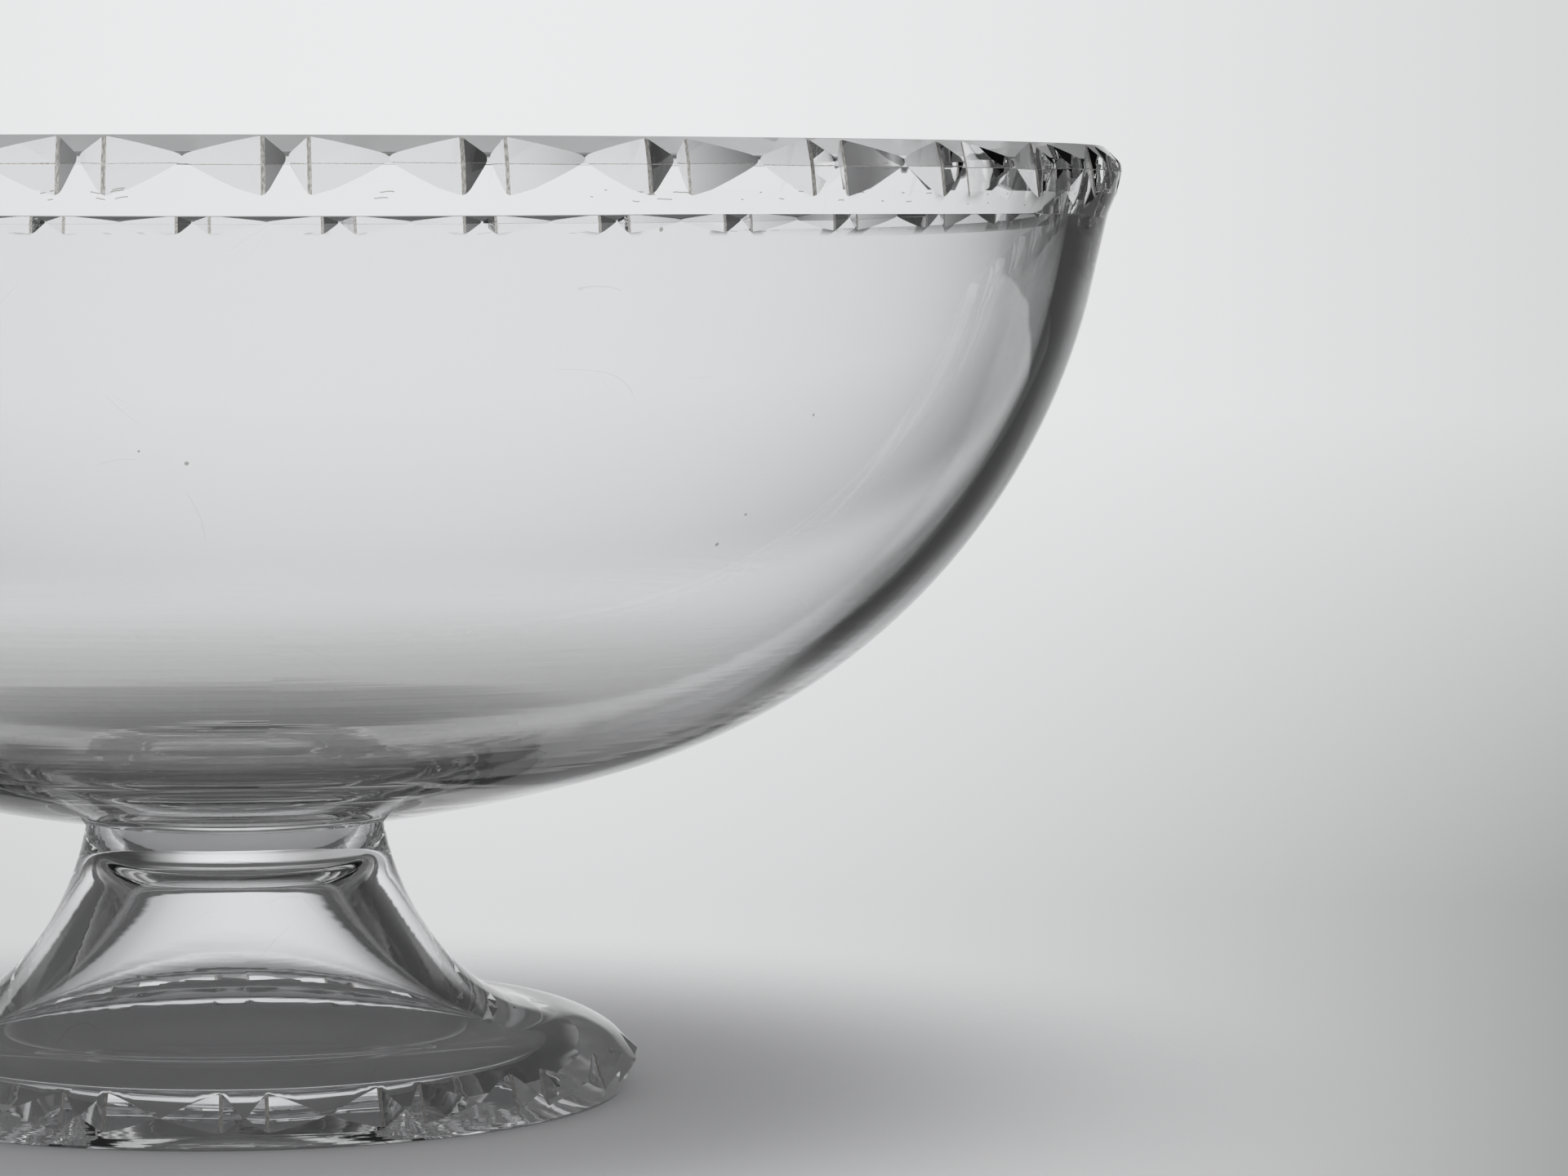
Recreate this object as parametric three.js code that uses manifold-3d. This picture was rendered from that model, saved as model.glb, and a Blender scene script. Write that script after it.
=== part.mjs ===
// Footed glass bowl with bands of mitre cuts round the rim and the foot.
// Millimetres, +Z up. The origin is the centre of the ring that the foot stands on.

import * as THREE from 'three';
import { mergeVertices } from 'three/addons/utils/BufferGeometryUtils.js';
import Module from 'manifold-3d';

const wasm = await Module();
wasm.setup();

// Seat: the flat top of the stem, and the flat ground under the bowl that is bonded to it.
const SEAT_RADIUS = 20;
const BOND_THICKNESS = 0.2;
const BOND_INSET = 0.3;

// Bowl, outside: a shallow dish, a round side and a straight leaning wall.
const RIM_RADIUS = 120;
const WALL_HEIGHT = 18;
const WALL_LEAN = 14.5;
const SIDE_RADIUS = 88;
const DISH_RADIUS = 230;
const DISH_SLOPE = 17;

// Bowl, inside: a wall that leans less than the outside, then a tighter round over a heavy bottom.
const INNER_WALL_HEIGHT = 15.4;
const INNER_WALL_LEAN = 10.6;
const INNER_SIDE_INSET = 7;
const INNER_DISH_SLOPE = 10;

// Rim: a ground flat top, an outer bevel, and a collar that stands proud of the wall on a sloping step.
const TOP_WIDTH = 3;
const RIM_BEVEL = 2.6;
const COLLAR_HEIGHT = 3.6;
const COLLAR_LEAN = 13.5;
const STEP_HEIGHT = 2.8;
const STEP_WIDTH = 1.15;
const CREST_ROUND = 0.5;

// Foot: a bell from the stem to a shouldered edge, bonded a little out of step with the rim's cuts.
const FOOT_HEIGHT = 36.8;
const FOOT_RADIUS = 54.7;
const FOOT_CREST_HEIGHT = 4.5;
const FOOT_BEVEL_WIDTH = 3.1;
const FOOT_BEVEL_HEIGHT = 3.1;
const SHOULDER_WIDTH = 8;
const SHOULDER_DROP = 2.7;
const STEM_FLARE = 4.3;
const FLARE_PULL = 0.55;
const FOOT_UNDERCUT = 2.2;
const BASE_ROUND = 0.4;
const FOOT_TURN = -2.1;

// Foot, underside: a bell-shaped hollow with a flat ceiling.
const BASE_RING_WIDTH = 9;
const STEM_WALL = 5;
const STEM_CAP = 7;
const CEILING_ROUND = 3.5;
const HOLLOW_BELLY = 0.35;

// Mitre cuts: mirrored pairs with a steep wall inside the pair and a broad wall outside it. Those of the
// rim are cut twice, over the bevel and down the collar, and the two meet in an arris below the crest.
const BOWL_CUT_PAIRS = 32;
const BOWL_CUT_DEPTH = 1.55;
const BOWL_CUT_DROP = 4.4;
const BOWL_ARRIS_DROP = 0.7;
const BOWL_PEAK_INSET = 0.12;
const BOWL_ROOT_OFFSET = 2.65;
const FOOT_CUT_PAIRS = 16;
const FOOT_CUT_DEPTH = 1.8;
const FOOT_CUT_REACH = 5.2;
const FOOT_ROOT_OFFSET = 3;
const PEAK_WIDTH = 0.5;
const BOWL_TIP_MARGIN = 0.15;
const FOOT_TIP_MARGIN = 0.35;
const CUTTER_OVERRUN = 1.5;

// Facets: each pair of cuts spans a whole number of flats.
const FLATS_PER_PAIR = 4;
const ARC_STEPS = 8;
const SHORT_ARC_STEPS = 3;

// Looks: polished clear glass and a slightly duller film.
const GLASS_COLOUR = 0xdfe5e6;
const GLASS_ROUGHNESS = 0.04;
const BOND_COLOUR = 0xc9d2d4;
const BOND_ROUGHNESS = 0.15;
const CLEAR_OPACITY = 0.35;

const radians = THREE.MathUtils.degToRad;
const point = (r, z) => new THREE.Vector2(r, z);
const bowlSeatHeight = FOOT_HEIGHT + BOND_THICKNESS;

// Arc from a point, turning from one slope above the horizontal to another.
function arcFrom(start, radius, fromSlope, toSlope, steps) {
  const points = [];
  for (let i = 1; i <= steps; i++) {
    const slope = radians(fromSlope + (toSlope - fromSlope) * i / steps);
    const dr = radius * (Math.sin(slope) - Math.sin(radians(fromSlope)));
    const dz = radius * (Math.cos(radians(fromSlope)) - Math.cos(slope));
    points.push(point(start.x + dr, start.y + dz));
  }
  return points;
}

// Outside of the bowl, from the edge of its seat up to the crest of the rim.
function bowlOutside() {
  const lean = Math.tan(radians(WALL_LEAN));
  const wallSlope = 90 - WALL_LEAN;
  const sideRun = SIDE_RADIUS * (Math.sin(radians(wallSlope)) - Math.sin(radians(DISH_SLOPE)));
  const dishEdge = RIM_RADIUS - WALL_HEIGHT * lean - sideRun;
  const seatSine = Math.sin(radians(DISH_SLOPE)) - (dishEdge - SEAT_RADIUS) / DISH_RADIUS;
  const seatSlope = THREE.MathUtils.radToDeg(Math.asin(seatSine));
  const seat = point(SEAT_RADIUS, bowlSeatHeight);
  const dish = arcFrom(seat, DISH_RADIUS, seatSlope, DISH_SLOPE, SHORT_ARC_STEPS);
  const side = arcFrom(dish.at(-1), SIDE_RADIUS, DISH_SLOPE, wallSlope, ARC_STEPS);
  const crest = point(RIM_RADIUS, side.at(-1).y + WALL_HEIGHT);
  const collar = point(crest.x - COLLAR_HEIGHT * Math.tan(radians(COLLAR_LEAN)), crest.y - COLLAR_HEIGHT);
  const step = point(collar.x - STEP_WIDTH, collar.y - STEP_HEIGHT);
  return { points: [seat, ...dish, ...side, step, collar], crest, collar };
}

// Inside of the bowl, from the edge of the flat top down to the axis.
function bowlInside(ridge) {
  const top = point(ridge.x - TOP_WIDTH, ridge.y);
  const wallRun = INNER_WALL_HEIGHT * Math.tan(radians(INNER_WALL_LEAN));
  const wallFoot = point(top.x - wallRun, top.y - INNER_WALL_HEIGHT);
  const innerRadius = SIDE_RADIUS - INNER_SIDE_INSET;
  const side = arcFrom(wallFoot, innerRadius, 90 - INNER_WALL_LEAN, INNER_DISH_SLOPE, ARC_STEPS);
  const dishRadius = side.at(-1).x / Math.sin(radians(INNER_DISH_SLOPE));
  const dish = arcFrom(side.at(-1), dishRadius, INNER_DISH_SLOPE, 0, SHORT_ARC_STEPS);
  dish.at(-1).x = 0;
  return [top, wallFoot, ...side, ...dish];
}

// Crest with its corner taken off, between the wall below and the bevel above.
function roundedCrest(crest, lower, upper, size) {
  const below = lower.clone().sub(crest).setLength(size).add(crest);
  const above = upper.clone().sub(crest).setLength(size).add(crest);
  return [below, above];
}

function glassBowlProfile() {
  const { points, crest, collar } = bowlOutside();
  const ridge = point(crest.x - RIM_BEVEL, crest.y + RIM_BEVEL);
  const crestEdge = roundedCrest(crest, collar, ridge, CREST_ROUND);
  const profile = [point(0, bowlSeatHeight), ...points, ...crestEdge, ridge, ...bowlInside(ridge)];
  return { profile, crest, collar, ridge };
}

// Outside of the foot, from the stem's top edge down to the crest of the cut edge.
function footOutside() {
  const crest = point(FOOT_RADIUS, FOOT_CREST_HEIGHT);
  const shoulder = point(crest.x - FOOT_BEVEL_WIDTH, crest.y + FOOT_BEVEL_HEIGHT);
  const flange = point(shoulder.x - SHOULDER_WIDTH, shoulder.y + SHOULDER_DROP);
  const stemTop = point(SEAT_RADIUS, FOOT_HEIGHT);
  const corner = point(stemTop.x + STEM_FLARE, flange.y);
  const flare = new THREE.CubicBezierCurve(
    stemTop,
    stemTop.clone().lerp(corner, FLARE_PULL),
    flange.clone().lerp(corner, FLARE_PULL),
    flange,
  );
  const rollCorner = point((flange.x + shoulder.x) / 2, flange.y);
  const roll = new THREE.QuadraticBezierCurve(flange, rollCorner, shoulder);
  const points = [...flare.getPoints(ARC_STEPS), ...roll.getPoints(SHORT_ARC_STEPS).slice(1)];
  return { points, shoulder, crest };
}

// Underside hollow, from the inner edge of the base ring up to the axis.
function footHollow() {
  const edge = point(FOOT_RADIUS - FOOT_UNDERCUT - BASE_RING_WIDTH, 0);
  const ceiling = FOOT_HEIGHT - STEM_CAP;
  const neck = point(SEAT_RADIUS - STEM_WALL, ceiling - CEILING_ROUND);
  const belly = point(
    THREE.MathUtils.lerp(neck.x, edge.x, HOLLOW_BELLY),
    neck.y * HOLLOW_BELLY,
  );
  const bell = new THREE.QuadraticBezierCurve(edge, belly, neck);
  const round = new THREE.QuadraticBezierCurve(
    neck,
    point(neck.x - CEILING_ROUND / 2, ceiling),
    point(neck.x - CEILING_ROUND, ceiling),
  );
  const corner = round.getPoints(SHORT_ARC_STEPS).slice(1);
  return [...bell.getPoints(ARC_STEPS), ...corner, point(0, ceiling)];
}

function glassFootProfile() {
  const { points, shoulder, crest } = footOutside();
  const underEdge = point(crest.x - FOOT_UNDERCUT, 0);
  const crestEdge = roundedCrest(crest, shoulder, underEdge, CREST_ROUND);
  const baseOuter = point(underEdge.x - BASE_ROUND, 0);
  const baseLip = underEdge.clone().lerp(crest, BASE_ROUND / crest.y);
  const profile = [point(0, FOOT_HEIGHT), ...points, ...crestEdge, baseLip, baseOuter, ...footHollow()];
  return { profile: profile.reverse(), crest, shoulder };
}

// Solid turned about +Z from a profile of radius and height.
function turned(profile, flats) {
  return new THREE.LatheGeometry(profile, flats).rotateX(Math.PI / 2);
}

// Closed mesh ready for cutting, with shared vertices and no faces of zero width at the axis.
function solidOf(geometry) {
  const bare = geometry.clone().deleteAttribute('normal').deleteAttribute('uv');
  const merged = mergeVertices(bare);
  const index = merged.index.array;
  const triangles = [];
  for (let i = 0; i < index.length; i += 3) {
    const [a, b, c] = index.slice(i, i + 3);
    if (a !== b && b !== c && c !== a) triangles.push(a, b, c);
  }
  const mesh = new wasm.Mesh({
    numProp: 3,
    vertProperties: new Float32Array(merged.attributes.position.array),
    triVerts: new Uint32Array(triangles),
  });
  return new wasm.Manifold(mesh);
}

function geometryOf(solid) {
  const mesh = solid.getMesh();
  const geometry = new THREE.BufferGeometry();
  geometry.setAttribute('position', new THREE.BufferAttribute(mesh.vertProperties, 3));
  geometry.setIndex(new THREE.BufferAttribute(mesh.triVerts, 1));
  geometry.computeVertexNormals();
  return geometry;
}

// One V-shaped cutter: its root leans from the arris to a tip, and its walls reach the surface at two peaks.
function mitreCutter(band, tip) {
  const { arris, depth, reach, pairs, rootOffset } = band;
  const lean = (tip.x - arris.x) / (tip.y - arris.y);
  const peakRadius = arris.x + depth;
  const rootAngle = rootOffset / peakRadius;
  const peakAngle = PEAK_WIDTH / 2 / peakRadius;
  const onPeaks = (angle) => point(peakRadius * Math.sin(angle), peakRadius * Math.cos(angle));
  const root = point(0, arris.x);
  const broad = onPeaks(Math.PI / pairs - rootAngle - peakAngle);
  const steep = onPeaks(peakAngle - rootAngle);
  const past = (peak) => peak.clone().sub(root).multiplyScalar(CUTTER_OVERRUN).add(root);
  const section = new THREE.Shape([root, past(broad), past(steep)]);
  const height = 2 * CUTTER_OVERRUN * reach;
  const cutter = new THREE.ExtrudeGeometry(section, { depth: height, bevelEnabled: false });
  cutter.translate(0, 0, -height / 2);
  cutter.applyMatrix4(new THREE.Matrix4().makeShear(0, 0, 0, 0, 0, lean));
  return cutter.rotateZ(-rootAngle).translate(0, 0, arris.y);
}

// The same cutter for the other half of a pair, with its triangles turned to face outward again.
function mirrored(geometry) {
  const mirror = mergeVertices(geometry.clone().deleteAttribute('normal').deleteAttribute('uv'));
  mirror.scale(-1, 1, 1);
  mirror.setIndex([...mirror.index.array].reverse());
  return mirror;
}

// Cuts the whole band of mirrored pairs round a turned solid, once towards each tip.
function cutBand(blank, band) {
  let solid = solidOf(blank);
  for (const tip of band.tips) {
    const right = mitreCutter(band, tip);
    const left = mirrored(right);
    for (let i = 0; i < band.pairs; i++) {
      const turn = 2 * Math.PI * i / band.pairs;
      solid = solid.subtract(solidOf(right.clone().rotateZ(turn)));
      solid = solid.subtract(solidOf(left.clone().rotateZ(turn)));
    }
  }
  return geometryOf(solid);
}

function glassBowl() {
  const { profile, crest, collar, ridge } = glassBowlProfile();
  const arris = point(crest.x - BOWL_PEAK_INSET - BOWL_CUT_DEPTH, crest.y - BOWL_ARRIS_DROP);
  const upper = point(ridge.x + BOWL_TIP_MARGIN, ridge.y - BOWL_TIP_MARGIN);
  const belowCollar = BOWL_CUT_DROP - COLLAR_HEIGHT;
  const lower = point(collar.x - belowCollar * STEP_WIDTH / STEP_HEIGHT, crest.y - BOWL_CUT_DROP);
  return cutBand(turned(profile, BOWL_CUT_PAIRS * FLATS_PER_PAIR), {
    arris, tips: [upper, lower], depth: BOWL_CUT_DEPTH, reach: upper.y - lower.y,
    pairs: BOWL_CUT_PAIRS, rootOffset: BOWL_ROOT_OFFSET,
  });
}

function glassFoot() {
  const { profile, crest, shoulder } = glassFootProfile();
  const arris = point(crest.x - FOOT_CUT_DEPTH, crest.y);
  const upper = point(shoulder.x + FOOT_TIP_MARGIN, shoulder.y - FOOT_TIP_MARGIN);
  return cutBand(turned(profile, FOOT_CUT_PAIRS * FLATS_PER_PAIR), {
    arris, tips: [upper], depth: FOOT_CUT_DEPTH, reach: FOOT_CUT_REACH,
    pairs: FOOT_CUT_PAIRS, rootOffset: FOOT_ROOT_OFFSET,
  });
}

function bondLayer() {
  const radius = SEAT_RADIUS - BOND_INSET;
  const flats = FOOT_CUT_PAIRS * FLATS_PER_PAIR;
  const film = new THREE.CylinderGeometry(radius, radius, BOND_THICKNESS, flats);
  return film.rotateX(Math.PI / 2).translate(0, 0, FOOT_HEIGHT + BOND_THICKNESS / 2);
}

function clear(color, roughness) {
  const look = { color, roughness, metalness: 0, transparent: true, opacity: CLEAR_OPACITY };
  return new THREE.MeshStandardMaterial(look);
}

function named(name, geometry, material) {
  const mesh = new THREE.Mesh(geometry, material);
  mesh.name = name;
  return mesh;
}

const foot = named('glass_foot', glassFoot(), clear(GLASS_COLOUR, GLASS_ROUGHNESS));
foot.rotation.z = radians(FOOT_TURN);

const bowl = new THREE.Group();
bowl.add(foot);
bowl.add(named('bond_layer', bondLayer(), clear(BOND_COLOUR, BOND_ROUGHNESS)));
bowl.add(named('glass_bowl', glassBowl(), clear(GLASS_COLOUR, GLASS_ROUGHNESS)));

export default bowl;
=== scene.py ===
from math import asin, cos, degrees, hypot, pi, radians, sin, tan

import bmesh
import bpy
from mathutils import Matrix, Vector


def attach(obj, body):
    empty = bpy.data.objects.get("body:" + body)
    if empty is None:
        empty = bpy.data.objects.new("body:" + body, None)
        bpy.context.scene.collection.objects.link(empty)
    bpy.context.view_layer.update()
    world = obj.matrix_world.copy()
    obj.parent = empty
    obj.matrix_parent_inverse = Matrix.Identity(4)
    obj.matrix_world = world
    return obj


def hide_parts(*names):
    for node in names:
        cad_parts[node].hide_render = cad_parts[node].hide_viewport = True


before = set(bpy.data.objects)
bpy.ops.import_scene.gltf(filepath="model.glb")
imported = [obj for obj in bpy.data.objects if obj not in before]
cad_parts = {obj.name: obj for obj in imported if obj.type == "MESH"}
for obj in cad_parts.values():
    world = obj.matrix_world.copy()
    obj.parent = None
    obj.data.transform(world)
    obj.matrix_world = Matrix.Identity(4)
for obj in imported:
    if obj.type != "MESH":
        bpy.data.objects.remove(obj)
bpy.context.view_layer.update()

MM = 0.001

# The sizes of the CAD part, in millimetres and degrees.
SEAT_RADIUS = 20.0
BOND_THICKNESS = 0.2
BOND_INSET = 0.3
RIM_RADIUS = 120.0
WALL_HEIGHT = 18.0
WALL_LEAN = 14.5
SIDE_RADIUS = 88.0
DISH_RADIUS = 230.0
DISH_SLOPE = 17.0
RIM_BEVEL = 2.6
CREST_ROUND = 1.6
COLLAR_HEIGHT = 3.6
COLLAR_LEAN = 13.5
STEP_HEIGHT = 2.8
STEP_WIDTH = 1.15
TOP_WIDTH = 3.0
TOP_ROUND = 0.4
INNER_SIDE_INSET = 7.0
INNER_DISH_SLOPE = 10.0
FOOT_HEIGHT = 36.8
FOOT_RADIUS = 54.7
FOOT_CREST_HEIGHT = 4.5
FOOT_BEVEL_WIDTH = 3.1
FOOT_BEVEL_HEIGHT = 3.1
SHOULDER_WIDTH = 8.0
SHOULDER_DROP = 2.7
STEM_FLARE = 4.3
FLARE_PULL = 0.55
FOOT_UNDERCUT = 2.2
BASE_ROUND = 0.4
FOOT_TURN = -2.1
BASE_RING_WIDTH = 9.0
STEM_WALL = 5.0
STEM_CAP = 7.0
CEILING_ROUND = 3.5
HOLLOW_BELLY = 0.35
PEAK_WIDTH = 0.5
CUTTER_OVERRUN = 1.5
BOWL_CUTS = {"pairs": 32, "depth": 1.55, "offset": 2.65, "margin": 0.15, "inset": 0.12,
             "arris": 0.7, "drop": 4.4}
FOOT_CUTS = {"pairs": 16, "depth": 1.8, "offset": 3.0, "margin": 0.35, "inset": 0.0, "arris": 0.0}

# A hair off the CAD part's 10.6 and 15.4, to bring the far rim's image nearer to its place in the photo.
INNER_WALL_LEAN = 10.9
INNER_WALL_HEIGHT = 15.8

# What only the drawn part has: hand-cut unevenness, ground cut bottoms and eased edges.
CUTTER_HALF = 10.5
UNEVEN_HEIGHT = 0.12
UNEVEN_TURN = 0.08
ROOT_WIDTH = 0.5
ARRIS_WIDTH = 0.07
ARRIS_MIN_ANGLE = 1
ARRIS_MAX_RISE = 0.2
EDGE_ROUND = 0.06
SHARP_ANGLE = 20
FILM_GAP = 0.02
FILM_INSET = 0.05
BEVEL_START = 0.6
BEVEL_END = 1
BASE_RING = (0, 0)
NO_SEAT = -1

# How fine the drawn surfaces are.
BOWL_SEGMENTS = 384
FOOT_SEGMENTS = 256
ARC_STEPS = 36
SHORT_ARC_STEPS = 12
WALL_STEPS = 4
INNER_WALL_STEPS = 6
CREST_STEPS = 20
TOP_STEPS = 10
BELL_STEPS = 30
ROLL_STEPS = 8
EDGE_STEPS = 2

# Colours and marks of the glass, and the painted shade low on the bowl. Marks are placed by noise, and show
# where it passes "above".
IOR = 1.52
CLEAR = (0.984, 0.986, 0.989, 1)
# The dark colour of the wear marks, also used for the painted shade low on the bowl.
WEAR_AND_SHADE_COLOR = (0.30, 0.29, 0.27, 1)
GRAIN_PALE = (0.80, 0.76, 0.69, 1)
GRAIN_DARK = (0.26, 0.24, 0.20, 1)
SEAT_TINT = (0.95, 0.95, 0.95, 1)
FILM_TINT = (0.96, 0.96, 0.96, 1)
FILM_GLOSS = 0.03
FILM_ROUGHNESS = 0.1
GROUND_ROUGHNESS = 0.45
FINE_ROUGHNESS = 0.05
FINE_CLARITY = 0.3
STREAK_ROUGHNESS = 0.10
TOOL_LINES = 8e-6
TOOL_LINE_HEIGHTS = (60, 80)
# Painted shade: the glass is tinted darker low on the bowl, fading out between these heights, by this share.
PAINTED_SHADE_HEIGHTS = (46, 62)
PAINTED_SHADE_SHARE = 0.4
CHIPS = {"height": 121.1, "wander": 2.0, "half": 0.06, "above": 0.6}
SPECKS = {"scale": 110, "radius": 0.03, "above": 0.8}
HAIRS = {"scale": 35, "half": 0.0008, "above": 0.62, "strength": 0.2}

# The studio: metres for the floor, degrees for bands of rise above the horizon and of turn from the
# backdrop's bearing, and strengths of light.
FLOOR_RADIUS = 0.9
FLOOR_DROP = 0.00005
FLOOR_SIDES = 96
FLOOR_COLOR = (0.80, 0.80, 0.81, 1)
FLOOR_FADE = (0.07, 0.17)
LIGHT_COLOR = (0.988, 0.992, 1.0, 1)
SKY = (0.06, 0.95)
UNDER_GLASS = 0.6
BACKDROP_BEARING = 5.0
PLAIN_LEVEL = 0.74
ROOM_LEVEL = 0.12
DARK_LEVEL = 0.05
POOL_REACH = 14.0
POOL_PEAK, POOL_PEAK_DROP = 0.835, -0.13
POOL_FALL, POOL_FALL_GROWTH = 0.0011, 0.0012
POOL_LOW = (-7, -2)
POOL_SIDES = (15, 40)
ROOM_RISE = (14, 40)
BACKDROP_TOP = (7, 10)
PLAIN_BELOW = (-20, -12)
GLASS_BELOW = (-8, -5.5)
GLASS_AHEAD = (26, 36)
AHEAD_RISE, AHEAD_LEVELS = (-23, -14), (0.25, 0.8)
ASIDE_LEVEL = 0.75
STEEP_RISE, STEEP_LEVEL = (-40, -30), 0.7
RIGHT_START = (8, 26)
RIGHT_SOONER = (((-12, -7), 4), ((-20, -15), 9))
RIGHT_END_RISE, RIGHT_ENDS, RIGHT_END_FADE = (-10, -7), (31, 54), (0, 6)
RIGHT_FLOOR = (-31, -26)
SIDES_EVERY, SIDES_BAND = 45.0, (12, 26)
SIDES_RISE, SIDES_SHARE = (-9, -6), 0.4
MIRROR_BAND = (12, 40)

# The photo's camera.
LENS = 127.79
SENSOR = 36
CAMERA_NEAR = 0.01
CAMERA_DISTANCE = 0.7556
CAMERA_HEIGHT = 0.11843
CAMERA_STAND = radians(-2.985)
CAMERA_ASIDE = 0.09878
CAMERA_DIP = 0.06686

GLASS, GROUND, BONDED, CUT, FINE = 0, 1, 2, 3, 4


# Profiles of radius and height

def arc(start, radius, slope_from, slope_to, steps):
    """Points after start on an arc that turns from one slope above the horizontal to another."""
    points = []
    for i in range(1, steps + 1):
        slope = radians(slope_from + (slope_to - slope_from) * i / steps)
        dr = radius * (sin(slope) - sin(radians(slope_from)))
        dz = radius * (cos(radians(slope_from)) - cos(slope))
        points.append((start[0] + dr, start[1] + dz))
    return points


def mix(a, b, t):
    return (a[0] + (b[0] - a[0]) * t, a[1] + (b[1] - a[1]) * t)


def line(a, b, steps):
    """Points after a on the way to b."""
    return [mix(a, b, i / steps) for i in range(1, steps + 1)]


def eased(before, corner, after):
    """A corner taken off by a hair, so that it shades as a fine rounded edge."""
    def toward(end):
        return mix(corner, end, EDGE_ROUND / hypot(end[0] - corner[0], end[1] - corner[1]))
    return [toward(before), toward(after)]


def curve(controls, steps):
    """Points after the first control on a Bezier curve."""
    points = []
    for i in range(1, steps + 1):
        row = list(controls)
        while len(row) > 1:
            row = [mix(a, b, i / steps) for a, b in zip(row, row[1:])]
        points.append(row[0])
    return points


def rounded(before, corner, after, radius, steps):
    """The points of a round that takes a corner off."""
    corner = Vector(corner)
    to_before = Vector(before) - corner
    to_after = Vector(after) - corner
    half = to_before.angle(to_after) / 2
    reach = radius / tan(half)
    start = corner + to_before.normalized() * reach
    end = corner + to_after.normalized() * reach
    middle = (to_before.normalized() + to_after.normalized()).normalized()
    centre = corner + middle * radius / sin(half)
    first = start - centre
    turn = first.angle_signed(end - centre)
    return [tuple(centre + Matrix.Rotation(-turn * i / steps, 2) @ first) for i in range(steps + 1)]


def bowl_profile():
    """The bowl's outline from the axis under the seat, round the rim and back to the axis."""
    wall_slope = 90 - WALL_LEAN
    side_run = SIDE_RADIUS * (sin(radians(wall_slope)) - sin(radians(DISH_SLOPE)))
    dish_edge = RIM_RADIUS - WALL_HEIGHT * tan(radians(WALL_LEAN)) - side_run
    seat_slope = degrees(asin(sin(radians(DISH_SLOPE)) - (dish_edge - SEAT_RADIUS) / DISH_RADIUS))
    floor = FOOT_HEIGHT + BOND_THICKNESS
    bond = (SEAT_RADIUS - BOND_INSET, floor)
    seat = (SEAT_RADIUS, floor)
    dish = arc(seat, DISH_RADIUS, seat_slope, DISH_SLOPE, SHORT_ARC_STEPS)
    side = arc(dish[-1], SIDE_RADIUS, DISH_SLOPE, wall_slope, ARC_STEPS)
    crest = (RIM_RADIUS, side[-1][1] + WALL_HEIGHT)
    collar = (crest[0] - COLLAR_HEIGHT * tan(radians(COLLAR_LEAN)), crest[1] - COLLAR_HEIGHT)
    step = (collar[0] - STEP_WIDTH, collar[1] - STEP_HEIGHT)
    ridge = (crest[0] - RIM_BEVEL, crest[1] + RIM_BEVEL)
    top = (ridge[0] - TOP_WIDTH, ridge[1])
    wall_foot = (top[0] - INNER_WALL_HEIGHT * tan(radians(INNER_WALL_LEAN)),
                 top[1] - INNER_WALL_HEIGHT)
    inner = arc(wall_foot, SIDE_RADIUS - INNER_SIDE_INSET, 90 - INNER_WALL_LEAN, INNER_DISH_SLOPE,
                ARC_STEPS)
    basin = arc(inner[-1], inner[-1][0] / sin(radians(INNER_DISH_SLOPE)), INNER_DISH_SLOPE, 0,
                SHORT_ARC_STEPS)
    points = [(0, floor), bond, seat, *dish, *side,
              *line(side[-1], step, WALL_STEPS)[:-1],
              *eased(side[-1], step, collar),
              *eased(step, collar, crest),
              *rounded(collar, crest, ridge, CREST_ROUND, CREST_STEPS),
              *eased(crest, ridge, top),
              *rounded(ridge, top, wall_foot, TOP_ROUND, TOP_STEPS),
              *line(top, wall_foot, INNER_WALL_STEPS)[1:],
              *inner, *basin[:-1], (0, basin[-1][1])]
    return points, crest, ridge


def foot_profile():
    """The foot's outline from the axis in the hollow, over the base ring and up to the axis on the stem."""
    crest = (FOOT_RADIUS, FOOT_CREST_HEIGHT)
    shoulder = (crest[0] - FOOT_BEVEL_WIDTH, crest[1] + FOOT_BEVEL_HEIGHT)
    flange = (shoulder[0] - SHOULDER_WIDTH, shoulder[1] + SHOULDER_DROP)
    stem_top = (SEAT_RADIUS, FOOT_HEIGHT)
    corner = (stem_top[0] + STEM_FLARE, flange[1])
    flare = curve([stem_top, mix(stem_top, corner, FLARE_PULL), mix(flange, corner, FLARE_PULL),
                   flange], ARC_STEPS)
    roll = curve([flange, ((flange[0] + shoulder[0]) / 2, flange[1]), shoulder], ROLL_STEPS)
    under = (crest[0] - FOOT_UNDERCUT, 0)
    edge = (under[0] - BASE_RING_WIDTH, 0)
    ceiling = FOOT_HEIGHT - STEM_CAP
    neck = (SEAT_RADIUS - STEM_WALL, ceiling - CEILING_ROUND)
    belly = (neck[0] + (edge[0] - neck[0]) * HOLLOW_BELLY, neck[1] * HOLLOW_BELLY)
    bell = curve([edge, belly, neck], BELL_STEPS)
    dome = curve([neck, (neck[0] - CEILING_ROUND / 2, ceiling), (neck[0] - CEILING_ROUND, ceiling)],
                 ROLL_STEPS)
    down = [(0, FOOT_HEIGHT), (SEAT_RADIUS - BOND_INSET, FOOT_HEIGHT), stem_top, *flare, *roll,
            *line(shoulder, crest, EDGE_STEPS),
            *line(crest, mix(under, crest, BASE_ROUND / crest[1]), EDGE_STEPS),
            (under[0] - BASE_ROUND, 0), edge, *bell, *dome, (0, ceiling)]
    return down[::-1], crest, shoulder


# Solids

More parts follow.
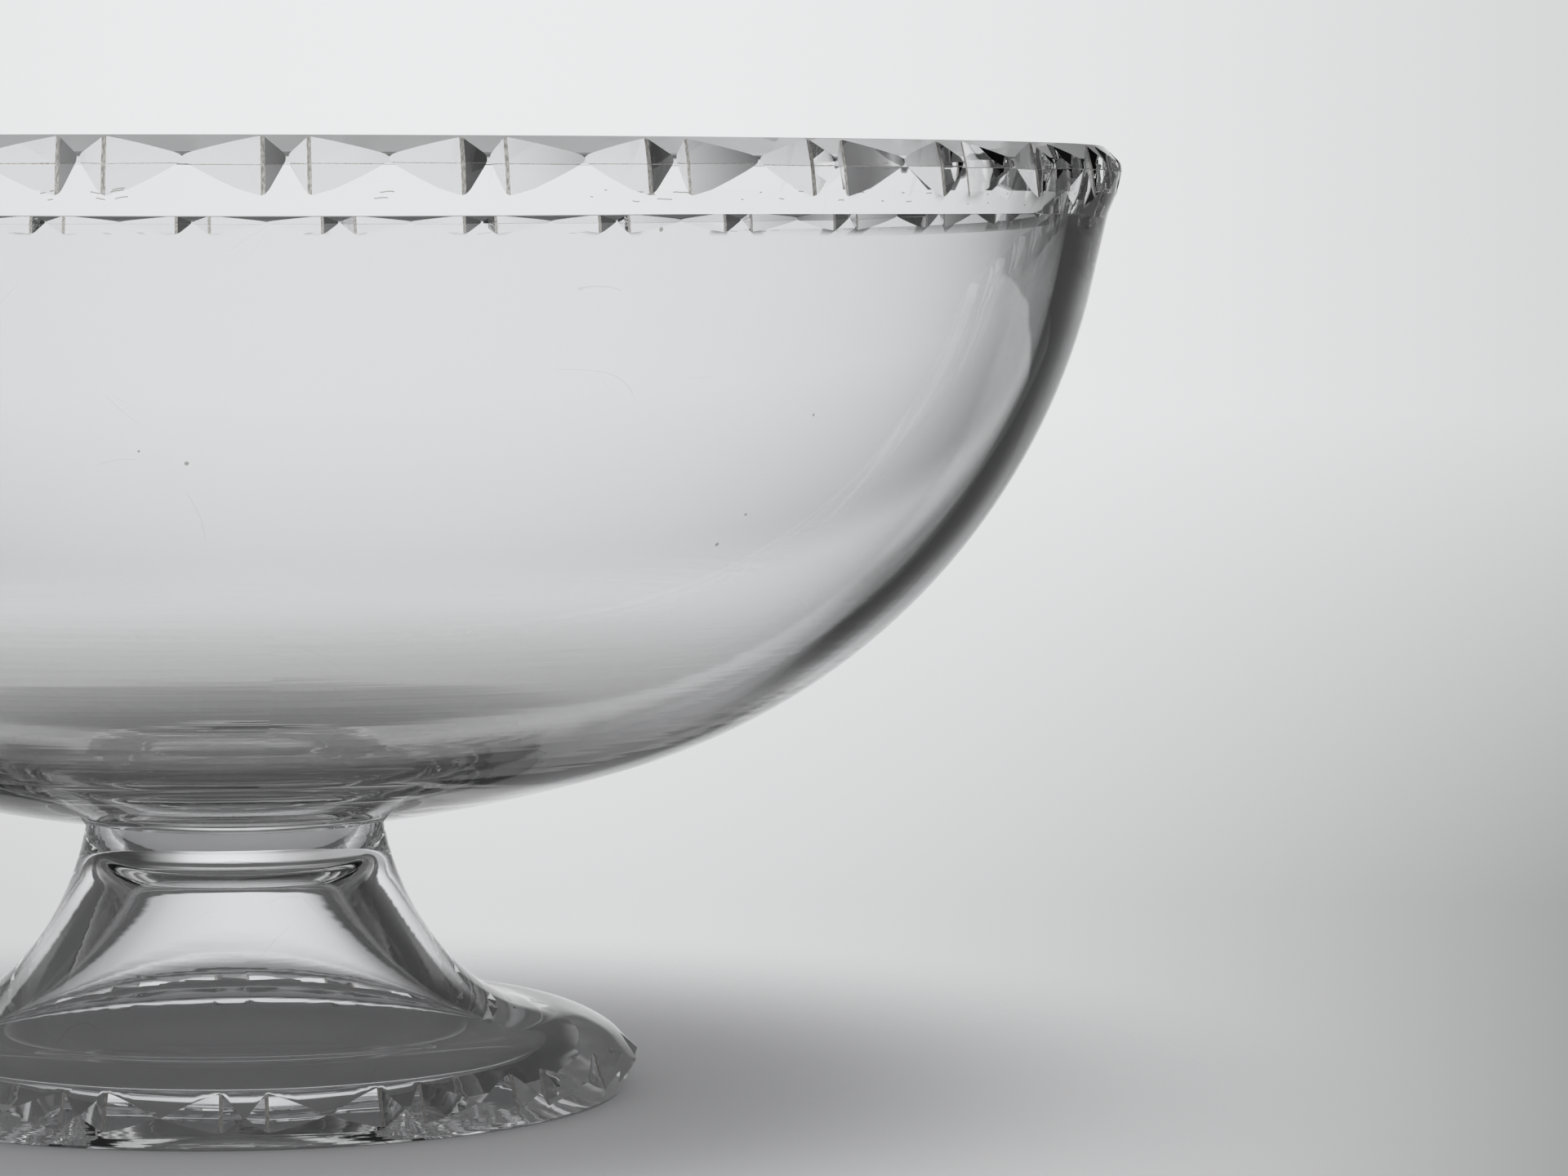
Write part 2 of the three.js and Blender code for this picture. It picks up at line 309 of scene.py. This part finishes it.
def mesh_object(name, verts, faces, indices, materials):
    mesh = bpy.data.meshes.new(name)
    mesh.from_pydata([Vector(v) * MM for v in verts], [], faces)
    for material in materials:
        mesh.materials.append(material)
    mesh.polygons.foreach_set("material_index", indices)
    bm = bmesh.new()
    bm.from_mesh(mesh)
    bmesh.ops.recalc_face_normals(bm, faces=bm.faces)
    bm.to_mesh(mesh)
    bm.free()
    obj = bpy.data.objects.new(name, mesh)
    bpy.context.collection.objects.link(obj)
    return obj


def turned(name, profile, segments, bonded_height, fine, materials):
    """Closed solid turned about +Z from an outline that starts and ends on the axis.

    End caps at bonded_height are bonded seats, and the faces from fine[0] to fine[1] up are finely ground.
    """
    rings = profile[1:-1]
    verts = [(0, 0, profile[0][1]), (0, 0, profile[-1][1])]
    for r, z in rings:
        for i in range(segments):
            verts.append((r * cos(2 * pi * i / segments), r * sin(2 * pi * i / segments), z))

    def at(ring, i):
        return 2 + ring * segments + i % segments

    last = len(rings) - 1
    faces = []
    indices = []
    for i in range(segments):
        faces += [(0, at(0, i + 1), at(0, i)), (1, at(last, i), at(last, i + 1))]
        for end in (profile[0], profile[-1]):
            indices.append(BONDED if abs(end[1] - bonded_height) < 1e-6 else GLASS)
        for ring in range(last):
            faces.append((at(ring, i), at(ring, i + 1), at(ring + 1, i + 1), at(ring + 1, i)))
            heights = (rings[ring][1], rings[ring + 1][1])
            is_fine = min(heights) >= fine[0] and max(heights) <= fine[1]
            indices.append(FINE if is_fine else GLASS)
    return mesh_object(name, verts, faces, indices, materials)


def wander(seed):
    """A steady number between -1 and 1 for the small unevenness of hand cutting."""
    return sin(seed * 127.1) * cos(seed * 311.7 + 1.3)


def cutters(name, crest, tip, cuts, mirror, turn, seed, materials):
    """A ring of V-shaped cutters, one for each pair of cuts, whose roots lean from the arris to the tip."""
    peak = crest[0] - cuts["inset"]
    arris = (peak - cuts["depth"], crest[1] - cuts["arris"])
    root_angle = cuts["offset"] / peak
    peak_angle = PEAK_WIDTH / 2 / peak

    def on_peak(angle):
        return Vector((peak * sin(angle), peak * cos(angle), 0))

    root = Vector((0, arris[0], 0))
    broad = on_peak(pi / cuts["pairs"] - root_angle - peak_angle) - root
    steep = on_peak(peak_angle - root_angle) - root
    half = ROOT_WIDTH / (broad.normalized() - steep.normalized()).length
    section = [root + broad.normalized() * half, root + broad * CUTTER_OVERRUN,
               root + steep * CUTTER_OVERRUN, root + steep.normalized() * half]
    side = -1 if mirror else 1
    verts, faces, indices = [], [], []
    for k in range(cuts["pairs"]):
        first = len(verts)
        shift = UNEVEN_HEIGHT * wander(k + seed + (0.5 if mirror else 0))
        lean = (tip[0] - arris[0]) / (tip[1] - arris[1] + shift)
        uneven_turn = radians(turn + UNEVEN_TURN * wander(k + 0.25))
        spin = Matrix.Rotation(2 * pi * k / cuts["pairs"] + uneven_turn, 3, "Z")
        for dz in (-CUTTER_HALF, CUTTER_HALF):
            for p in section:
                q = Vector((p.x, p.y + lean * dz, arris[1] + shift + dz))
                q = Matrix.Rotation(-root_angle, 3, "Z") @ q
                verts.append(spin @ Vector((side * q.x, q.y, q.z)))
        faces += [tuple(first + j for j in face) for face in
                  ((0, 1, 2, 3), (4, 5, 6, 7), (0, 1, 5, 4), (1, 2, 6, 5), (2, 3, 7, 6), (3, 0, 4, 7))]
        indices += [CUT, CUT, CUT, CUT, CUT, GROUND]
    return mesh_object(name, verts, faces, indices, materials)


def cut(obj, tools):
    """Cuts the tools from obj for good, eases the arrises and sets how the faces shade."""
    for tool in tools:
        modifier = obj.modifiers.new(tool.name, "BOOLEAN")
        modifier.operation = "DIFFERENCE"
        modifier.solver = "MANIFOLD"
        modifier.object = tool
    depsgraph = bpy.context.evaluated_depsgraph_get()
    solid = bpy.data.meshes.new_from_object(obj.evaluated_get(depsgraph))
    obj.modifiers.clear()
    obj.data = solid
    for tool in tools:
        bpy.data.objects.remove(tool)
    bevel_arrises(obj)
    smooth(obj)


def bevel_arrises(obj):
    """Takes a hair off the edges where two passes of a cut meet, as the wheel left them."""
    bm = bmesh.new()
    bm.from_mesh(obj.data)
    arrises = []
    for edge in bm.edges:
        faces = edge.link_faces
        if len(faces) == 2 and all(face.material_index == CUT for face in faces):
            across = edge.verts[1].co - edge.verts[0].co
            level = abs(across.z) < across.length * ARRIS_MAX_RISE
            if level and edge.calc_face_angle() > radians(ARRIS_MIN_ANGLE):
                arrises.append(edge)
    bmesh.ops.bevel(bm, geom=arrises, offset=ARRIS_WIDTH * MM, offset_type="OFFSET", segments=1,
                    profile=0.5, affect="EDGES", material=GROUND)
    bm.to_mesh(obj.data)
    bm.free()


def smooth(obj):
    """Shades turned surfaces round, and leaves the cuts' facets flat."""
    obj.data.shade_smooth()
    obj.data.set_sharp_from_angle(angle=radians(SHARP_ANGLE))
    for polygon in obj.data.polygons:
        polygon.use_smooth = polygon.material_index in (GLASS, BONDED, FINE)


# Nodes

def put(tree, kind, inputs=None, **settings):
    """Adds a node. An input is a value, or another node's output to link."""
    node = tree.nodes.new(kind)
    for key, value in settings.items():
        setattr(node, key, value)
    for key, value in (inputs or {}).items():
        if isinstance(value, bpy.types.NodeSocket):
            tree.links.new(value, node.inputs[key])
        else:
            node.inputs[key].default_value = value
    return node


def blank(name):
    material = bpy.data.materials.new(name)
    material.use_nodes = True
    material.node_tree.nodes.clear()
    return material, material.node_tree


def calc(tree, operation, *values):
    return put(tree, "ShaderNodeMath", dict(enumerate(values)), operation=operation).outputs[0]


def times(tree, a, b):
    return calc(tree, "MULTIPLY", a, b)


def blend(tree, share, a, b):
    """The value a where share is 0, and b where it is 1."""
    return calc(tree, "ADD", a, times(tree, share, calc(tree, "SUBTRACT", b, a)))


def ramp(tree, value, band, to_low, to_high, kind="SMOOTHSTEP"):
    """Goes from to_low to to_high as the value crosses the band."""
    inputs = {"Value": value, "From Min": band[0], "From Max": band[1],
              "To Min": to_low, "To Max": to_high}
    return put(tree, "ShaderNodeMapRange", inputs, interpolation_type=kind).outputs[0]


def noise(tree, place, scale, detail):
    inputs = {"Vector": place, "Scale": scale, "Detail": detail}
    return put(tree, "ShaderNodeTexNoise", inputs).outputs["Fac"]


def spot(tree, x, y=0.0):
    return put(tree, "ShaderNodeCombineXYZ", {0: x, 1: y}).outputs[0]


def within(tree, value, middle, half):
    """1 where the value is less than half away from the middle, and 0 elsewhere."""
    away = calc(tree, "ABSOLUTE", calc(tree, "SUBTRACT", value, middle))
    return calc(tree, "LESS_THAN", away, half)


def tinted(tree, darkening, clear, dark):
    """The clear colour, turned to the dark one as far as the darkening says."""
    return put(tree, "ShaderNodeMix", {0: darkening, 6: clear, 7: dark}, data_type="RGBA").outputs[2]


def places(tree):
    """Where a point is: the point itself, millimetres round the rim, and millimetres up."""
    place = put(tree, "ShaderNodeTexCoord").outputs["Object"]
    x, y, z = put(tree, "ShaderNodeSeparateXYZ", {0: place}).outputs
    around = times(tree, calc(tree, "ARCTAN2", x, y), RIM_RADIUS)
    return place, around, calc(tree, "DIVIDE", z, MM)


# Materials

def wear(tree, place, around, up):
    """Small marks of use and making: chips along the collar's edge, specks and hairline scratches."""
    collar = calc(tree, "MULTIPLY_ADD", noise(tree, spot(tree, around), 0.14, 3), CHIPS["wander"],
                  CHIPS["height"] - CHIPS["wander"] / 2)
    chipped = calc(tree, "GREATER_THAN", noise(tree, spot(tree, around, 7), 0.3, 1), CHIPS["above"])
    chip = times(tree, within(tree, up, collar, CHIPS["half"]), chipped)
    inputs = {"Vector": place, "Scale": SPECKS["scale"]}
    cells = put(tree, "ShaderNodeTexVoronoi", inputs).outputs
    lot = put(tree, "ShaderNodeSeparateXYZ", {0: cells["Color"]}).outputs[0]
    speck = times(tree, calc(tree, "LESS_THAN", cells["Distance"], SPECKS["radius"]),
                  calc(tree, "GREATER_THAN", lot, SPECKS["above"]))
    strand = within(tree, noise(tree, place, HAIRS["scale"], 0), 0.5, HAIRS["half"])
    hair = times(tree, strand, calc(tree, "GREATER_THAN", noise(tree, place, 60, 1), HAIRS["above"]))
    return calc(tree, "MAXIMUM", calc(tree, "MAXIMUM", chip, speck),
                times(tree, hair, HAIRS["strength"]))


def glass_body(tree, color, roughness, normal=None, clarity=1.0):
    inputs = {"Base Color": color, "Roughness": roughness, "IOR": IOR, "Transmission Weight": clarity}
    if normal:
        inputs["Normal"] = normal
    shader = put(tree, "ShaderNodeBsdfPrincipled", inputs)
    put(tree, "ShaderNodeOutputMaterial", {"Surface": shader.outputs[0]})


def clear_glass():
    """Polished glass with small marks of wear, painted shade low on the bowl, and faint tool lines."""
    material, tree = blank("glass")
    place, around, up = places(tree)
    lines = times(tree, noise(tree, spot(tree, times(tree, around, 0.01), up), 0.9, 2),
                  ramp(tree, up, TOOL_LINE_HEIGHTS, TOOL_LINES, 0))
    inputs = {"Strength": 1.0, "Distance": 1.0, "Height": lines}
    bump = put(tree, "ShaderNodeBump", inputs).outputs[0]
    # Painted shade: the bowl's glass is tinted darker low down, standing in for shade seen through it.
    painted_shade = times(tree, ramp(tree, up, PAINTED_SHADE_HEIGHTS, PAINTED_SHADE_SHARE, 0),
                  calc(tree, "GREATER_THAN", up, FOOT_HEIGHT))
    # The darkening mixes the wear marks with the painted shade.
    darkening = calc(tree, "MAXIMUM", painted_shade, wear(tree, place, around, up))
    glass_body(tree, tinted(tree, darkening, CLEAR, WEAR_AND_SHADE_COLOR), 0.0, bump)
    return material


def cut_glass():
    """The cuts' facets, with fine upright scratches from the wheel."""
    material, tree = blank("cut_glass")
    place, around, up = places(tree)
    streak = noise(tree, spot(tree, around, times(tree, up, 0.06)), 4, 2)
    color = tinted(tree, wear(tree, place, around, up), CLEAR, WEAR_AND_SHADE_COLOR)
    glass_body(tree, color, ramp(tree, streak, (0.55, 0.75), 0.0, STREAK_ROUGHNESS))
    return material


def ground_glass():
    """The rough, grey-brown bottom of each cut."""
    material, tree = blank("ground_glass")
    place, around, up = places(tree)
    grain = noise(tree, spot(tree, around, times(tree, up, 0.3)), 5, 3)
    color = tinted(tree, ramp(tree, grain, (0.38, 0.62), 0, 1), GRAIN_PALE, GRAIN_DARK)
    glass_body(tree, color, GROUND_ROUGHNESS)
    return material


def fine_ground_glass():
    """The finely ground bevel of the rim and ring under the foot."""
    material, tree = blank("fine_ground_glass")
    glass_body(tree, CLEAR, FINE_ROUGHNESS, clarity=FINE_CLARITY)
    return material


def bonded_glass():
    """The seat where film and glass meet: light passes straight on, with a little lost."""
    material, tree = blank("bonded_glass")
    through = put(tree, "ShaderNodeBsdfTransparent", {"Color": SEAT_TINT})
    put(tree, "ShaderNodeOutputMaterial", {"Surface": through.outputs[0]})
    return material


def bond_film():
    """The clear film, with a little gloss."""
    material, tree = blank("bond_film")
    through = put(tree, "ShaderNodeBsdfTransparent", {"Color": FILM_TINT})
    gloss = put(tree, "ShaderNodeBsdfGlossy", {"Color": (1, 1, 1, 1), "Roughness": FILM_ROUGHNESS})
    both = put(tree, "ShaderNodeMixShader",
               {0: FILM_GLOSS, 1: through.outputs[0], 2: gloss.outputs[0]})
    put(tree, "ShaderNodeOutputMaterial", {"Surface": both.outputs[0]})
    return material


# Studio

def pale_floor():
    """A plain pale disc that fades into the backdrop."""
    bpy.ops.mesh.primitive_circle_add(vertices=FLOOR_SIDES, radius=FLOOR_RADIUS, fill_type="NGON",
                                      location=(0, 0, -FLOOR_DROP))
    floor = bpy.context.object
    floor.name = "floor"
    material, tree = blank("floor")
    place = put(tree, "ShaderNodeTexCoord").outputs["Object"]
    far = put(tree, "ShaderNodeVectorMath", {0: place}, operation="LENGTH").outputs["Value"]
    paint = put(tree, "ShaderNodeBsdfDiffuse", {"Color": FLOOR_COLOR})
    through = put(tree, "ShaderNodeBsdfTransparent")
    both = put(tree, "ShaderNodeMixShader",
               {0: ramp(tree, far, FLOOR_FADE, 0, 1), 1: paint.outputs[0], 2: through.outputs[0]})
    put(tree, "ShaderNodeOutputMaterial", {"Surface": both.outputs[0]})
    floor.data.materials.append(material)


def backdrop(tree, rise, aside):
    """A pale backdrop with a pool of light ahead that is duller low down, under a dim room."""
    low = ramp(tree, rise, POOL_LOW, 1, 0, "LINEAR")
    near = calc(tree, "MINIMUM", aside, POOL_REACH)
    peak = calc(tree, "MULTIPLY_ADD", low, POOL_PEAK_DROP, POOL_PEAK)
    fall = calc(tree, "MULTIPLY_ADD", low, POOL_FALL_GROWTH, POOL_FALL)
    pool = calc(tree, "SUBTRACT", peak, times(tree, fall, times(tree, near, near)))
    level = blend(tree, ramp(tree, aside, POOL_SIDES, 0, 1), pool, PLAIN_LEVEL)
    level = blend(tree, ramp(tree, rise, ROOM_RISE, 0, 1), level, ROOM_LEVEL)
    return blend(tree, ramp(tree, rise, PLAIN_BELOW, 1, 0), level, PLAIN_LEVEL)


def ground_in_glass(tree, rise, aside):
    """What glass shows of the ground: duller ahead, where the bowl's shadow lies, and plain lower down."""
    ahead = ramp(tree, aside, GLASS_AHEAD, 1, 0)
    level = blend(tree, ahead, ASIDE_LEVEL, ramp(tree, rise, AHEAD_RISE, *AHEAD_LEVELS))
    return blend(tree, ramp(tree, rise, STEEP_RISE, 1, 0), level, STEEP_LEVEL)


def dark_room(tree, rise, turn, aside, mirrored):
    """How dark the room is in the glass: to the right, in weaker bands all round, and in its outer gloss."""
    start = turn
    for band, sooner in RIGHT_SOONER:
        start = calc(tree, "ADD", start, ramp(tree, rise, band, sooner, 0))
    past_end = calc(tree, "SUBTRACT", turn, ramp(tree, rise, RIGHT_END_RISE, *RIGHT_ENDS))
    right = times(tree, ramp(tree, start, RIGHT_START, 0, 1),
                  ramp(tree, past_end, RIGHT_END_FADE, 1, 0))
    right = times(tree, right, ramp(tree, rise, RIGHT_FLOOR, 0, 1))
    all_round = times(tree, ramp(tree, calc(tree, "PINGPONG", turn, SIDES_EVERY), SIDES_BAND, 0, 1),
                      ramp(tree, rise, SIDES_RISE, 0, SIDES_SHARE))
    gloss = times(tree, mirrored, ramp(tree, aside, MIRROR_BAND, 0, 1))
    return calc(tree, "MAXIMUM", calc(tree, "MAXIMUM", right, all_round), gloss)


def studio_world():
    """The backdrop for sight and glass, with a darker room in the glass, and a soft sky for the floor."""
    world = bpy.data.worlds.new("studio")
    bpy.context.scene.world = world
    world.use_nodes = True
    tree = world.node_tree
    tree.nodes.clear()
    place = put(tree, "ShaderNodeTexCoord").outputs["Generated"]
    x, y, z = put(tree, "ShaderNodeSeparateXYZ", {0: place}).outputs
    bearing = times(tree, calc(tree, "ARCTAN2", x, y), degrees(1))
    rise = times(tree, calc(tree, "ARCSINE", z), degrees(1))
    turn = calc(tree, "SUBTRACT", bearing, BACKDROP_BEARING)
    aside = calc(tree, "ABSOLUTE", turn)
    path = put(tree, "ShaderNodeLightPath").outputs
    refracted = path["Is Transmission Ray"]
    in_glass = calc(tree, "MAXIMUM", path["Is Glossy Ray"], refracted)
    mirrored = calc(tree, "SUBTRACT", in_glass, refracted)

    level = backdrop(tree, rise, aside)
    over = times(tree, in_glass, ramp(tree, rise, BACKDROP_TOP, 0, 1))
    level = blend(tree, over, level, ROOM_LEVEL)
    under = times(tree, ramp(tree, rise, GLASS_BELOW, 1, 0), refracted)
    level = blend(tree, under, level, ground_in_glass(tree, rise, aside))
    dark = times(tree, dark_room(tree, rise, turn, aside, mirrored), in_glass)
    level = blend(tree, dark, level, DARK_LEVEL)

    seen = times(tree, calc(tree, "MAXIMUM", path["Is Camera Ray"], in_glass),
                 ramp(tree, path["Diffuse Depth"], (0, 1), 1, UNDER_GLASS))
    strength = blend(tree, seen, ramp(tree, z, (0, 1), *SKY, "LINEAR"), level)
    light = put(tree, "ShaderNodeBackground", {"Color": LIGHT_COLOR, "Strength": strength})
    put(tree, "ShaderNodeOutputWorld", {"Surface": light.outputs[0]})


def camera():
    """The photo's camera, fitted to the rim, the foot and the cuts."""
    data = bpy.data.cameras.new("camera")
    data.lens = LENS
    data.sensor_width = SENSOR
    data.clip_start = CAMERA_NEAR
    obj = bpy.data.objects.new("camera", data)
    obj.location = (CAMERA_DISTANCE * sin(CAMERA_STAND), -CAMERA_DISTANCE * cos(CAMERA_STAND),
                    CAMERA_HEIGHT)
    obj.rotation_euler = (pi / 2 - CAMERA_DIP, 0, CAMERA_STAND - CAMERA_ASIDE)
    bpy.context.collection.objects.link(obj)
    bpy.context.scene.camera = obj


# The object

faces = [clear_glass(), ground_glass(), bonded_glass(), cut_glass(), fine_ground_glass()]

profile, crest, ridge = bowl_profile()
bevel = (crest[1] + BEVEL_START, ridge[1] + BEVEL_END)
bowl = turned("bowl", profile, BOWL_SEGMENTS, FOOT_HEIGHT + BOND_THICKNESS, bevel, faces)
upper_tip = (ridge[0] + BOWL_CUTS["margin"], ridge[1] - BOWL_CUTS["margin"])
below_collar = BOWL_CUTS["drop"] - COLLAR_HEIGHT
collar_run = COLLAR_HEIGHT * tan(radians(COLLAR_LEAN))
lower_tip = (crest[0] - collar_run - below_collar * STEP_WIDTH / STEP_HEIGHT,
             crest[1] - BOWL_CUTS["drop"])
cut(bowl, [cutters("upper_right", crest, upper_tip, BOWL_CUTS, False, 0, 0.1, faces),
           cutters("upper_left", crest, upper_tip, BOWL_CUTS, True, 0, 0.1, faces),
           cutters("lower_right", crest, lower_tip, BOWL_CUTS, False, 0, 0.3, faces),
           cutters("lower_left", crest, lower_tip, BOWL_CUTS, True, 0, 0.3, faces)])

profile, crest, shoulder = foot_profile()
foot = turned("foot", profile, FOOT_SEGMENTS, FOOT_HEIGHT, BASE_RING, faces)
tip = (shoulder[0] + FOOT_CUTS["margin"], shoulder[1] - FOOT_CUTS["margin"])
cut(foot, [cutters("foot_right", crest, tip, FOOT_CUTS, False, FOOT_TURN, 0.1, faces),
           cutters("foot_left", crest, tip, FOOT_CUTS, True, FOOT_TURN, 0.1, faces)])

bond_radius = SEAT_RADIUS - BOND_INSET - FILM_INSET
bond_low = FOOT_HEIGHT + FILM_GAP
bond_high = FOOT_HEIGHT + BOND_THICKNESS - FILM_GAP
bond_outline = [(0, bond_low), (bond_radius, bond_low), (bond_radius, bond_high), (0, bond_high)]
bond = turned("bond", bond_outline, FOOT_SEGMENTS, NO_SEAT, BASE_RING, [bond_film()])
smooth(bond)

for piece, node, slot in ((bowl, "glass_bowl", "bowl_glass"), (foot, "glass_foot", "foot_glass"),
                          (bond, "bond_layer", "bond_film")):
    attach(piece, "root")
    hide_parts(node)

pale_floor()
studio_world()
camera()

scene = bpy.context.scene
scene.view_settings.view_transform = "Standard"
scene.cycles.max_bounces = 32
scene.cycles.transmission_bounces = 32
scene.cycles.glossy_bounces = 16
scene.cycles.transparent_max_bounces = 32
